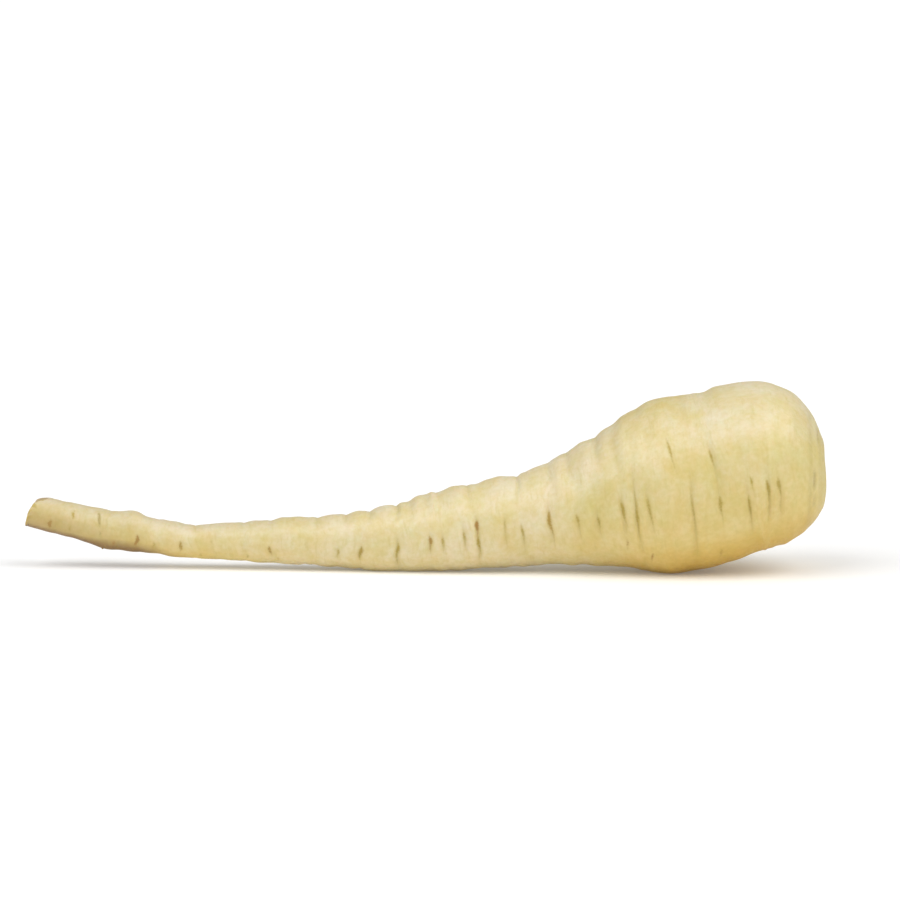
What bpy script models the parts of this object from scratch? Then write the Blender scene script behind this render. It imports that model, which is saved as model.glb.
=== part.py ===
# Parsnip: one whole root, lying on its belly as picked, crown toward +X.
#
# The root is a turned profile that is then bent along its centreline and given
# its creases, swellings, rootlet nubs and slanting tail cut by formula.
# Metres, +Z up. The origin is under the middle of the box, on the surface that
# the root rests on. Stations run along X from the tail tip; angles turn round
# the root from its top (0) over its -Y side (90) to its underside (180).

import math
import random

import bpy
import numpy as np

MM = 0.001

# Driving dimensions
APEX_STATION = 273.0 * MM       # where the crown's dome would close
CROWN_RADIUS = 29.4 * MM        # widest part of the crown
DOME_LENGTH = 34 * MM           # from the widest part to the apex
DOME_POWER = 2.3                # 2 is an ellipse, more is squarer
DOME_DROOP = 2.8 * MM           # how far the dome's apex sits below the centreline
DROOP_START = 250 * MM
DROOP_REACH = 24 * MM
EDGE_EASE = 0.5 * MM            # how far the crown's edge is worn back round the dish
EDGE_RADIUS = 17.5 * MM
EDGE_WIDTH = 5.5 * MM
DISH_RADIUS = 11.6 * MM         # sunken top where the leaves grew
TAIL_EDGE = 0.7 * MM            # rounding of the cut tail's edge
CUT_SLANT = math.radians(17)    # tail cut, from square across the root
CUT_ROUND = 4.2 * MM            # how far the cut curves back at its upper corner
CUT_FADE = 13 * MM              # how far up the tail the slant dies out
CREASE_WIDTH = 0.8 * MM         # half-width of a crease
LEAF_RING_WIDTH = 1.1 * MM      # half-width of a leaf ring on the dome
REST_FLAT = 0.9 * MM            # how much of the belly is pressed flat
REST_STATION = 221 * MM         # middle of the smooth spot that it rests on
REST_LENGTH = 11 * MM           # half-length of that spot
REST_SPREAD = 26                # half-angle of that spot (degrees)

WIDEST_STATION = APEX_STATION - DOME_LENGTH
RINGS_END = 258 * MM            # creased rings stop here, and the dome's own begin
DOME_RIM = 13.2 * MM            # innermost radius of the dome, outside the dish

# Mesh fineness
SIDES = 30
RING_GAP = 2.4 * MM             # widest gap between rings
CREASE_EDGE = 0.95 * MM         # ring to each side of a crease
DOME_ARCS = 9

# Radius along the root: station, radius (mm)
GIRTH = [
    (0, 5.7), (14, 5.9), (30, 6.3), (46, 5.7), (62, 5.8), (78, 6.9), (92, 7.7),
    (106, 8.8), (120, 10.5), (134, 12.3), (148, 14.0), (162, 15.0), (174, 15.8),
    (184, 18.6), (194, 21.3), (204, 25.0), (213, 28.1), (223, 28.8),
]
# Height of the centreline above the surface: station, height (mm)
SPINE = [
    (0, 19.3), (14, 16.0), (27, 13.2), (40, 11.2), (54, 9.35), (70, 9.2),
    (88, 9.6), (105, 9.7), (120, 10.35), (134, 12.0), (148, 14.1), (162, 16.1),
    (176, 18.3), (190, 21.6), (206, 26.0), (222, 29.1), (235, 32.0), (246, 35.1),
    (256, 36.0), (274, 36.0),
]
# Sideways bow of the centreline: station, Y (mm)
BOW = [(0, 5.0), (40, 2.4), (80, 0.4), (130, -0.8), (190, 0.0), (240, 0.6), (274, 0.4)]
# Lean of the creases, how far they run toward the crown over the -Y side (mm)
LEAN = [(0, 0), (60, 0.4), (120, -0.5), (160, 0.3), (205, -2.4), (226, -2.6), (246, -0.6),
        (262, 0)]

# Creases on the -Y side: station (mm), from, to (degrees), depth (mm)
SIDE_CREASES = [
    (10, 93, 135, 0.5), (16, 41, 77, 0.35), (27, 55, 93, 0.3), (31, 117, 151, 0.4),
    (38, 93, 127, 0.45), (44, 105, 133, 0.35), (53, 87, 123, 0.4), (65, 51, 81, 0.25),
    (74, 93, 119, 0.3), (83, 99, 131, 0.45), (95, 77, 105, 0.3), (106, 97, 131, 0.55),
    (113.7, 93, 125, 0.7), (126, 83, 145, 0.8), (137.2, 83, 113, 0.75), (141.5, 87, 113, 0.6),
    (149, 79, 119, 0.7), (153.6, 69, 133, 1.0), (162.8, 76, 120, 0.6), (168.7, 88, 130, 0.6),
    (178.3, 70, 120, 0.7), (187.2, 83, 111, 0.6), (193.6, 88, 116, 0.6), (202, 80, 116, 0.8),
    (206.2, 63, 133, 0.7), (211, 79, 113, 0.5), (224.5, 77, 139, 0.65), (233.2, 62, 114, 0.6),
    (242, 89, 128, 0.6), (250, 89, 124, 0.7), (254.1, 90, 120, 0.55),
]
# Creases over the top of the root, the same columns
TOP_CREASES = [
    (27, -30, 40, 0.25), (44, -60, 20, 0.25), (57, -40, 45, 0.35), (74, -60, 20, 0.3),
    (83, -50, 40, 0.3), (98.5, -55, 35, 0.5), (108.5, -60, 35, 0.5), (117, -50, 38, 0.5),
    (127, -60, 40, 0.85), (141.5, -55, 42, 0.4), (152, -65, 38, 0.6), (168.7, -60, 42, 0.6),
    (180, -50, 34, 0.25), (187.2, -45, 36, 0.15), (197, -60, 36, 0.5), (211, -40, 25, 0.2),
    (233.2, -20, 36, 0.12),
]
# Rings that the outer leaves left on the dome: radius, depth (mm)
LEAF_RINGS = [(15.8, 0.12), (20.2, 0.12)]
# Creases on the far side and underneath lie on the same stations
HIDDEN_ROWS = (205, 280)        # middles of those two rows (degrees)
HIDDEN_SEED = 11
# The skin swells between one crease and the next, most between those far apart
SWELL = 0.042                   # height of a swelling as a share of the gap
SWELL_GAP = 14 * MM             # wider gaps swell no more than this one
SWELL_FADE = 66                 # half-angle over which a row's swellings die out (degrees)

# Local swellings and dents: station, angle, length, half-angle, height (mm, degrees)
BUMPS = [
    (35.5, 2, 3.6, 32, 0.8),        # rootlet nub on top of the tail
    (26.5, 170, 3.4, 34, 0.8),      # rootlet nub under the tail
    (214.5, 4, 6.5, 62, 1.0),       # shoulder hump
    (235, 0, 5.5, 34, -0.7),        # dent between shoulder and crown
    (228, 57, 5.0, 22, -0.35),      # hollow beside the dent
    (131.5, 0, 2.0, 50, -0.4),      # small dents and swellings along the top
    (155.5, 0, 2.6, 50, -0.6),
    (184.5, 0, 2.0, 45, -0.3),
    (188.5, 0, 2.0, 45, 0.3),
    (196.3, 0, 2.4, 45, -0.5),
    (202.5, 0, 2.4, 45, -0.7),
    (208.5, 0, 3.0, 45, 0.35),
    (182, 130, 9.0, 45, -0.5),
    (118, 250, 9.0, 50, 0.45),
    (196, 262, 12.0, 45, -0.7),
    (236, 240, 12.0, 50, 0.6),
    (240.5, 180, 8.0, 50, -1.6),    # crown drawn up underneath
    (253, 180, 7.0, 50, -0.8),
    (254.5, 0, 7.5, 45, 0.4),        # and full on top
]

SKIN_COLOUR = (0.80, 0.66, 0.38, 1.0)
SKIN_ROUGHNESS = 0.52


def clear_scene():
    for item in list(bpy.data.objects):
        bpy.data.objects.remove(item, do_unlink=True)


def through(points, at):
    """Smooth curve through hand-set points in millimetres, read at stations in metres."""
    x = np.array([point[0] for point in points]) * MM
    y = np.array([point[1] for point in points]) * MM
    slope = np.gradient(y, x)
    i = np.clip(np.searchsorted(x, at) - 1, 0, len(x) - 2)
    step = x[i + 1] - x[i]
    t = np.clip((at - x[i]) / step, 0.0, 1.0)
    start = (2 * t**3 - 3 * t**2 + 1) * y[i] + (t**3 - 2 * t**2 + t) * step * slope[i]
    end = (3 * t**2 - 2 * t**3) * y[i + 1] + (t**3 - t**2) * step * slope[i + 1]
    return start + end


def bare_radius(station):
    """Radius of the smooth root: hand-set up to its widest, then a domed crown."""
    girth = through(GIRTH + [(WIDEST_STATION / MM, CROWN_RADIUS / MM)], station)
    along = np.clip((station - WIDEST_STATION) / DOME_LENGTH, 0, 0.999)
    dome = CROWN_RADIUS * (1 - along**DOME_POWER) ** (1 / DOME_POWER)
    return np.where(station > WIDEST_STATION, dome, girth)


def crease_stations():
    return sorted({crease[0] for crease in SIDE_CREASES + TOP_CREASES})


def ring_stations():
    """Rings on every crease and beside it, with even rings between."""
    marks = [TAIL_EDGE]
    for station in crease_stations():
        marks += [station * MM - CREASE_EDGE, station * MM, station * MM + CREASE_EDGE]
    marks.append(RINGS_END)
    rings = [marks[0]]
    for mark in marks[1:]:
        gap = mark - rings[-1]
        if gap < 0.5 * MM:
            continue
        count = math.ceil(gap / RING_GAP)
        start = rings[-1]
        rings += [start + gap * k / count for k in range(1, count + 1)]
    return rings


def crown_profile():
    """The cut stalks in the middle, the dish round them, the rim and the dome's top."""
    top = APEX_STATION
    outline = [
        (0, top - 3.4 * MM),                    # middle of the cut stalks
        (2.4 * MM, top - 3.1 * MM),
        (4.5 * MM, top - 3.3 * MM),
        (5.7 * MM, top - 4.3 * MM),
        (6.5 * MM, top - 6.0 * MM),             # floor of the dish
        (8.0 * MM, top - 6.2 * MM),
        (9.3 * MM, top - 4.9 * MM),
        (10.4 * MM, top - 3.1 * MM),
        (DISH_RADIUS, top - 2.1 * MM),          # rim
    ]
    first = math.acos(DOME_RIM / CROWN_RADIUS)
    last = math.asin((RINGS_END - WIDEST_STATION) / DOME_LENGTH)
    for k in range(DOME_ARCS):
        turn = first + (last - first) * k / DOME_ARCS
        station = WIDEST_STATION + DOME_LENGTH * math.sin(turn)
        outline.append((float(bare_radius(station)), station))
    return outline


def profile_points():
    """Half outline from the crown's middle out and down to the tail's middle."""
    outline = crown_profile()
    for station in reversed(ring_stations()):
        outline.append((float(bare_radius(station)), station))
    tail = float(bare_radius(0.0))
    outline.append((tail - 0.25 * TAIL_EDGE, 0.25 * TAIL_EDGE))
    outline.append((tail - TAIL_EDGE, 0.0))
    outline.append((0.5 * tail, -0.1 * TAIL_EDGE))
    outline.append((0.0, -0.1 * TAIL_EDGE))
    return outline


def turned_mesh():
    """The profile turned round Z, crown up."""
    outline = profile_points()
    profile = bpy.data.meshes.new("root_profile")
    profile.from_pydata(
        [(radius, 0.0, height) for radius, height in outline],
        [(k, k + 1) for k in range(len(outline) - 1)],
        [],
    )
    guide = bpy.data.objects.new("root_profile", profile)
    bpy.context.scene.collection.objects.link(guide)
    screw = guide.modifiers.new("Turn", "SCREW")
    screw.axis = "Z"
    screw.angle = 2 * math.pi
    screw.steps = SIDES
    screw.render_steps = SIDES
    screw.use_merge_vertices = True
    screw.merge_threshold = 0.00001
    bpy.context.view_layer.update()
    evaluated = guide.evaluated_get(bpy.context.evaluated_depsgraph_get())
    mesh = bpy.data.meshes.new_from_object(evaluated)
    bpy.data.objects.remove(guide, do_unlink=True)
    bpy.data.meshes.remove(profile)
    mesh.name = "parsnip_root"
    return mesh


def angle_from(angle, middle):
    """Signed difference of two angles in degrees, -180 to 180."""
    return (angle - middle + 180) % 360 - 180


def hidden_creases():
    """Creases for the sides out of sight, on the stations of the others."""
    chance = random.Random(HIDDEN_SEED)
    creases = []
    for station in crease_stations():
        for row in HIDDEN_ROWS:
            middle = row + chance.uniform(-14, 14)
            half = chance.uniform(12, 34)
            depth = chance.uniform(0.3, 0.8) * min(1.0, 0.5 + station / 240)
            if chance.random() < 0.78:
                creases.append((station, middle - half, middle + half, depth))
    return creases


def crease_depth(station, angle):
    """How far the skin is drawn in by the creases."""
    depth = np.zeros_like(station)
    for place, start, end, deep in SIDE_CREASES + TOP_CREASES + hidden_creases():
        across = np.abs(station - place * MM) / CREASE_WIDTH
        along = np.abs(angle_from(angle, (start + end) / 2)) / ((end - start) / 2)
        depth += deep * MM * np.exp(-across**1.3) * np.exp(-along**4)
    return depth


def rest_spot(station, angle):
    """1 on the smooth spot under the belly, 0 elsewhere."""
    along = (station - REST_STATION) / REST_LENGTH
    round_root = angle_from(angle, 180) / REST_SPREAD
    return np.exp(-along**4 - round_root**4)


def swelling(station, angle, creases, middle):
    """Rounded bands between neighbouring creases of one row."""
    height = np.zeros_like(station)
    places = [crease[0] * MM for crease in creases]
    for start, end in zip(places[:-1], places[1:]):
        gap = end - start
        along = np.clip((station - start) / gap, 0, 1)
        height += SWELL * min(gap, SWELL_GAP) * np.sin(math.pi * along) ** 2
    return height * np.exp(-(angle_from(angle, middle) / SWELL_FADE) ** 4)


def bump_height(station, angle, radius):
    """Nubs, swellings and dents, each a soft mound."""
    height = np.zeros_like(station)
    for place, middle, length, half, high in BUMPS:
        across = (station - place * MM) / (length * MM)
        along = angle_from(angle, middle) / half
        height += high * MM * np.exp(-across**2 - along**2)
    # the root is not quite round, and the uneven stretches turn as they run along it
    drift = station / (41 * MM)
    height += radius * 0.014 * np.sin(np.radians(2 * angle) + 0.35 * drift)
    height += radius * 0.009 * np.sin(np.radians(3 * angle) - drift)
    height += swelling(station, angle, TOP_CREASES, 0)
    height += 0.7 * swelling(station, angle, SIDE_CREASES, 118)
    height += 0.9 * swelling(station, angle, TOP_CREASES, 240)
    return height


def bend(station):
    """Centre and across-direction of the root at each station."""
    height = through(SPINE, station)
    side = through(BOW, station)
    small = 0.5 * MM
    rise = (through(SPINE, station + small) - through(SPINE, station - small)) / (2 * small)
    tilt = np.arctan(rise)
    return height, side, tilt


def shape_root(mesh):
    """Lays the turned root down, bends it and works its surface."""
    count = len(mesh.vertices)
    flat = np.empty(count * 3)
    mesh.vertices.foreach_get("co", flat)
    x, y, station = flat.reshape(count, 3).T
    radius = np.hypot(x, y)
    angle = np.degrees(np.arctan2(-y, -x))
    dome = station > WIDEST_STATION

    # skin relief acts on the outside and fades over the crown and the tail's cut face
    outer = np.where(dome, np.clip((radius - 13 * MM) / (9 * MM), 0, 1),
                     np.clip((radius / bare_radius(station) - 0.8) / 0.2, 0, 1))
    creases = crease_depth(station, angle) * (1 - rest_spot(station, angle))
    worked = radius + outer * (bump_height(station, angle, radius) - creases)

    # the trimmed stalks stand in a lobed clump, and the dish and its rim are uneven
    turn = np.radians(angle)
    clump = np.clip((7 * MM - radius) / (3 * MM), 0, 1) * dome
    inner = np.clip((18 * MM - radius) / (5 * MM), 0, 1) * dome
    worked *= 1 + inner * (0.06 * np.sin(2 * turn - 1.3) + 0.035 * np.sin(3 * turn - 0.4))
    worked *= 1 + clump * 0.10 * np.sin(5 * turn)
    rim = np.exp(-((radius - DISH_RADIUS) / (3 * MM)) ** 2) * dome
    lobes = 0.5 * np.sin(3 * turn + 0.6) + 0.4 * np.sin(5 * turn - 1.1) - 1.3 * np.cos(2 * turn)
    lobes -= 0.9 * np.cos(turn)
    lift = rim * 0.3 * MM * lobes
    edge = np.exp(-((radius - EDGE_RADIUS) / EDGE_WIDTH) ** 2) * dome
    lift -= edge * EDGE_EASE * (1 + 0.6 * np.cos(turn))
    lift += clump * 0.4 * MM * np.sin(2 * turn + 1.0)

    for ring, depth in LEAF_RINGS:
        lift -= dome * depth * MM * np.exp(-((radius - ring * MM) / LEAF_RING_WIDTH) ** 2)

    # creases lean along the root, the tail is cut on a slant
    lean = through(LEAN, station) * np.sin(np.radians(angle - 105)) * outer
    upper = worked * np.cos(turn)
    corner = CUT_ROUND * np.clip(2 * upper / bare_radius(0.0) - 1, 0, 1) ** 2
    slant = math.tan(CUT_SLANT) * upper + corner
    along = station + lift + lean + slant * np.clip(1 - station / CUT_FADE, 0, 1)

    height, side, tilt = bend(along)
    height = height - DOME_DROOP * np.clip((station - DROOP_START) / DROOP_REACH, 0, 1) ** 2
    placed = np.empty((count, 3))
    placed[:, 0] = along - upper * np.sin(tilt)
    placed[:, 1] = side - worked * np.sin(turn)
    placed[:, 2] = height + upper * np.cos(tilt)

    # belly and middle rest flat on the surface
    level = placed[:, 2].min() + REST_FLAT
    placed[:, 2] = np.maximum(placed[:, 2], level) - level
    middle = (placed.max(axis=0) + placed.min(axis=0)) / 2
    placed[:, :2] -= middle[:2]
    mesh.vertices.foreach_set("co", placed.ravel())
    mesh.update()


def skin_material():
    material = bpy.data.materials.new("parsnip_skin")
    material.use_nodes = True
    shader = material.node_tree.nodes["Principled BSDF"]
    shader.inputs["Base Color"].default_value = SKIN_COLOUR
    shader.inputs["Roughness"].default_value = SKIN_ROUGHNESS
    shader.inputs["Metallic"].default_value = 0.0
    material.diffuse_color = SKIN_COLOUR
    return material


def build_parsnip():
    clear_scene()
    parsnip = bpy.data.collections.new("parsnip")
    bpy.context.scene.collection.children.link(parsnip)
    mesh = turned_mesh()
    shape_root(mesh)
    mesh.materials.append(skin_material())
    mesh.shade_smooth()
    mesh.set_sharp_from_angle(angle=math.radians(55))
    root = bpy.data.objects.new("parsnip_root", mesh)
    parsnip.objects.link(root)


build_parsnip()
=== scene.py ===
# Parsnip: the looks of one whole root lying on its belly, seen from the side
import math
import random

import bpy
import numpy as np
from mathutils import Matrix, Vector


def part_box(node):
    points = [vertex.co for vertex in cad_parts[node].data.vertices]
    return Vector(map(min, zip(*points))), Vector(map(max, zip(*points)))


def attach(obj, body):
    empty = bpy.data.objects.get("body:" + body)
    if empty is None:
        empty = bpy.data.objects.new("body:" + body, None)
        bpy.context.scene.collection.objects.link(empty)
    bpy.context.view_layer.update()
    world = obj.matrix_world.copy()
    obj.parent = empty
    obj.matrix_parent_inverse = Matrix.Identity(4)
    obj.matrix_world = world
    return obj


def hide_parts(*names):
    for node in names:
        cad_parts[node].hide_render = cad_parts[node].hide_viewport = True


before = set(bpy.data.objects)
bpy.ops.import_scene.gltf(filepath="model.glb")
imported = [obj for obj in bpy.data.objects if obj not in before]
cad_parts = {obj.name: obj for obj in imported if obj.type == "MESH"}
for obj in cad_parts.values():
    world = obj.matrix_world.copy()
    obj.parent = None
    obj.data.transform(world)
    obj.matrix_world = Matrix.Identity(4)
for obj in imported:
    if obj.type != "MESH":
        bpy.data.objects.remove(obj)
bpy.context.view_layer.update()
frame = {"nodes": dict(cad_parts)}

mm = 0.001                    # in metres
cm = 10.0                     # in millimetres
white = (1, 1, 1, 1)
noiseRange = (0.3, 0.7)       # nearly all of a noise lies between these
print("frame loaded:", ", ".join(frame["nodes"]))


# The root's form, in millimetres. A station is a place along the root from the tail's
# cut end. An angle turns round it from its top (0) over the side shown (90) to its belly (180).
# Waves and lobes are given by height, number round the root and phase.
rootForm = {
    "apex": 273.0,            # where the crown's dome would close
    "crownRadius": 29.4,
    "domeLength": 34.0,
    "domePower": 2.3,         # 2 is an ellipse, more is squarer
    "domeDroop": 2.8,
    "droopStart": 250.0,
    "droopReach": 24.0,
    "ringsEnd": 258.0,        # creased rings stop here
    "domeRim": 13.2,
    "restFlat": 0.9,          # how much of the belly is pressed flat
    "restStation": 221.0,
    "restLength": 11.0,
    "restSpread": 26.0,
    "oval": 0.014,            # how far the root is from round, as shares of its radius
    "ovalTwist": 0.35,
    "threeSided": 0.009,
    "twist": 41.0,            # length along which this turns by a radian
    "swell": 0.042,           # height of the swelling between creases, as a share of the gap
    "swellGap": 14.0,
    "swellFade": 66.0,
    # creases that the swellings lie between, angle of the row, share of the height
    "swellRows": [("top", 0, 1.0), ("side", 118, 0.7), ("top", 240, 0.9)],
    "girth": [(0, 5.7), (14, 5.9), (30, 6.3), (46, 5.7), (62, 5.8), (78, 6.9), (92, 7.7),
              (106, 8.8), (120, 10.5), (134, 12.3), (148, 14.0), (162, 15.0), (174, 15.8),
              (184, 18.6), (194, 21.3), (204, 25.0), (213, 28.1), (223, 28.8)],
    "spine": [(0, 19.3), (14, 16.0), (27, 13.2), (40, 11.2), (54, 9.35), (70, 9.2),
              (88, 9.6), (105, 9.7), (120, 10.35), (134, 12.0), (148, 14.1), (162, 16.1),
              (176, 18.3), (190, 21.6), (206, 26.0), (222, 29.1), (235, 32.0), (246, 35.1),
              (256, 36.0), (274, 36.0)],
    "bow": [(0, 5.0), (40, 2.4), (80, 0.4), (130, -0.8), (190, 0.0), (240, 0.6), (274, 0.4)],
    # how far the creases lean along the root, to either side of an angle
    "lean": [(0, 0), (60, 0.4), (120, -0.5), (160, 0.3), (205, -2.4), (226, -2.6),
             (246, -0.6), (262, 0)],
    "leanMiddle": 105,
    # how far they wander along it: height, number, length for one radian, phase
    "wander": [(0.28, 2, 23, 0), (0.2, 5, -17, 1.3), (0.1, 9, 11, 0)],
    "wanderEnds": [(14, 34), (262, 254)],
    # station, angle, length, half-angle, height
    "bumps": [(35.5, 2, 3.6, 32, 0.8), (26.5, 170, 3.4, 34, 0.8), (214.5, 4, 6.5, 62, 1.0),
              (235, 0, 5.5, 34, -0.7), (228, 57, 5.0, 22, -0.35), (131.5, 0, 2.0, 50, -0.9),
              (155.5, 0, 2.6, 50, -0.6), (184.5, 0, 2.0, 45, -0.3), (196.3, 0, 2.4, 45, -0.5),
              (202.5, 0, 2.4, 45, -0.7), (208.5, 0, 3.0, 45, 0.35), (204.6, 0, 1.6, 45, 0.55),
              (182, 130, 9.0, 45, -0.5), (118, 250, 9.0, 50, 0.45), (196, 262, 12.0, 45, -0.7),
              (236, 240, 12.0, 50, 0.6), (240.5, 180, 8.0, 50, -1.6), (253, 180, 7.0, 50, -0.8),
              (254.5, 0, 7.5, 45, 0.85), (266, 0, 5.0, 60, -0.35), (238.5, 0, 2.0, 40, -0.4),
              (233, 0, 2.5, 40, 0.25), (170, 0, 1.2, 45, 0.4), (140, 0, 1.9, 50, 0.75),
              (39, 0, 1.8, 40, -0.35), (45, 0, 1.8, 40, 0.4), (52.5, 0, 2.2, 45, -0.35),
              (66, 0, 5.0, 45, -0.35), (79, 0, 2.0, 45, -0.3), (86.3, 0, 1.8, 45, 0.4),
              (125.8, 0, 1.8, 45, -0.35), (186.3, 0, 1.2, 45, -0.45)],
}


def ramp(value, start, end):
    # 0 up to the start and 1 from the end on
    return np.clip((value - start) / (end - start), 0, 1)


def hump(value, width, power=2):
    # 1 in the middle, fading on both sides
    return np.exp(-np.abs(value / width) ** power)


def lobed(turn, lobes):
    return sum(size * np.sin(count * turn + phase) for size, count, phase in lobes)


def between(pair, share):
    return pair[0] + (pair[1] - pair[0]) * share


def curveThrough(points, at):
    # smooth curve through given points
    x = np.array([point[0] for point in points], dtype=float)
    y = np.array([point[1] for point in points], dtype=float)
    slope = np.gradient(y, x)
    i = np.clip(np.searchsorted(x, at) - 1, 0, len(x) - 2)
    step = x[i + 1] - x[i]
    t = np.clip((at - x[i]) / step, 0.0, 1.0)
    start = (2 * t**3 - 3 * t**2 + 1) * y[i] + (t**3 - 2 * t**2 + t) * step * slope[i]
    end = (3 * t**2 - 2 * t**3) * y[i + 1] + (t**3 - t**2) * step * slope[i + 1]
    return start + end


def angleFrom(angle, middle):
    return (angle - middle + 180) % 360 - 180


def alongArc(angle, start, end):
    # -1 at the start of an arc round the root, 1 at its end
    return angleFrom(angle, (start + end) / 2) / ((end - start) / 2)


def widestStation():
    return rootForm["apex"] - rootForm["domeLength"]


def bareRadius(station):
    # listed up to the widest place, then a domed crown
    widest = widestStation()
    girth = curveThrough(rootForm["girth"] + [(widest, rootForm["crownRadius"])], station)
    along = np.clip((station - widest) / rootForm["domeLength"], 0, 0.999)
    power = rootForm["domePower"]
    dome = rootForm["crownRadius"] * (1 - along**power) ** (1 / power)
    return np.where(station > widest, dome, girth)


def restSpot(station, angle):
    # 1 on the smooth spot under the belly
    along = hump(station - rootForm["restStation"], rootForm["restLength"], 4)
    return along * hump(angleFrom(angle, 180), rootForm["restSpread"], 4)


def layDown(upper, across, station, along):
    # from the straight root to the bent one
    small = 0.5
    rise = curveThrough(rootForm["spine"], along + small)
    rise -= curveThrough(rootForm["spine"], along - small)
    tilt = np.arctan(rise / (2 * small))
    droop = np.clip((station - rootForm["droopStart"]) / rootForm["droopReach"], 0, 1) ** 2
    height = curveThrough(rootForm["spine"], along) - rootForm["domeDroop"] * droop
    placed = np.empty((len(along), 3))
    placed[:, 0] = along - upper * np.sin(tilt)
    placed[:, 1] = curveThrough(rootForm["bow"], along) - across
    placed[:, 2] = height + upper * np.cos(tilt)
    return placed


# Creases draw the skin in, and scars are the dark lines that lie in some of them
creaseForm = {
    "reach": 5.0,             # how far along the root from its station a crease or scar acts
    "coreWidth": 0.6,         # the sharp fold at the bottom of a crease
    "coreShare": 0.3,
    # painted shade that the core lays in the crease
    "coreShade": 0.6,
    "valleyWidth": 1.3,       # the soft valley round it
    "valleyShare": 0.55,
    # painted shade that the valley lays round it
    "valleyShade": 0.4,
    "lipWidth": 0.8,          # the low lip on its tail side
    "lipShare": 0.14,
    "lipOffset": 1.6,
    # station, from, to, depth
    "side": [(10, 93, 135, 0.5), (16, 41, 77, 0.35), (27, 55, 93, 0.3), (31, 117, 151, 0.4),
             (38, 93, 127, 0.45), (44, 105, 133, 0.35), (53, 87, 123, 0.4), (65, 51, 81, 0.25),
             (74, 93, 119, 0.3), (83, 99, 131, 0.45), (95, 77, 105, 0.3), (106, 97, 131, 0.55),
             (113.7, 93, 125, 0.7), (126, 83, 145, 0.8), (137.2, 83, 113, 0.75),
             (141.5, 87, 113, 0.6), (149, 79, 119, 0.7), (153.6, 69, 133, 1.0),
             (162.8, 76, 120, 0.6), (168.7, 88, 130, 0.6), (178.3, 70, 120, 0.7),
             (187.2, 83, 111, 0.6), (193.6, 88, 116, 0.6), (202, 80, 116, 0.8),
             (206.2, 63, 133, 0.7), (211, 79, 113, 0.5), (224.5, 77, 139, 0.65),
             (233.2, 62, 114, 0.4), (242, 89, 128, 0.6), (250, 89, 124, 0.7),
             (254.1, 90, 120, 0.55)],
    "top": [(27, -30, 40, 0.25), (44, -60, 20, 0.25), (57, -40, 45, 0.35), (74, -60, 20, 0.3),
            (83, -50, 40, 0.3), (98.5, -55, 35, 0.5), (108.5, -60, 35, 0.5), (117, -50, 38, 0.5),
            (127, -60, 40, 0.85), (141.5, -55, 42, 0.4), (152, -65, 38, 0.6),
            (168.7, -60, 42, 0.6), (180, -50, 34, 0.25), (187.2, -45, 36, 0.15),
            (197, -60, 36, 0.5), (211, -40, 25, 0.2), (233.2, -20, 36, 0.12)],
    # how far some of them slant along the root, for each step down the side
    "slants": {153.6: -0.2, 162.8: -0.5, 211: 0.9, 242: -0.9, 254.1: 0.6},
    "slantMiddle": 105,
    "slantReach": 40,
    "slantStep": 20,
}


def slantAt(place, angle):
    form = creaseForm
    down = np.clip(angleFrom(angle, form["slantMiddle"]), -form["slantReach"], form["slantReach"])
    return form["slants"].get(place, 0.0) * down / form["slantStep"]


def creaseWork(station, angle, creases):
    # how far the creases draw the skin in, and how much painted shade they lay in them
    form = creaseForm
    drawn = np.zeros_like(station)
    paintedCreaseShade = np.zeros_like(station)
    for place, start, end, deep in creases:
        near = np.abs(station - place) < form["reach"]
        across = station[near] - place - slantAt(place, angle[near])
        window = hump(alongArc(angle[near], start, end), 1, 4)
        core = hump(across, form["coreWidth"], 1.5)
        valley = hump(across, form["valleyWidth"])
        lip = hump(across + form["lipOffset"], form["lipWidth"])
        depth = form["coreShare"] * core + form["valleyShare"] * valley - form["lipShare"] * lip
        drawn[near] += deep * window * depth
        paintedCreaseShade[near] += deep * window * (form["coreShade"] * core + form["valleyShade"] * valley)
    return drawn, paintedCreaseShade


def swelling(station, angle, creases, middle):
    # rounded bands between neighbouring creases of one row
    height = np.zeros_like(station)
    places = [crease[0] for crease in creases]
    for start, end in zip(places[:-1], places[1:]):
        along = ramp(station, start, end)
        gap = min(end - start, rootForm["swellGap"])
        height += rootForm["swell"] * gap * np.sin(math.pi * along) ** 2
    return height * hump(angleFrom(angle, middle), rootForm["swellFade"], 4)


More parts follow.
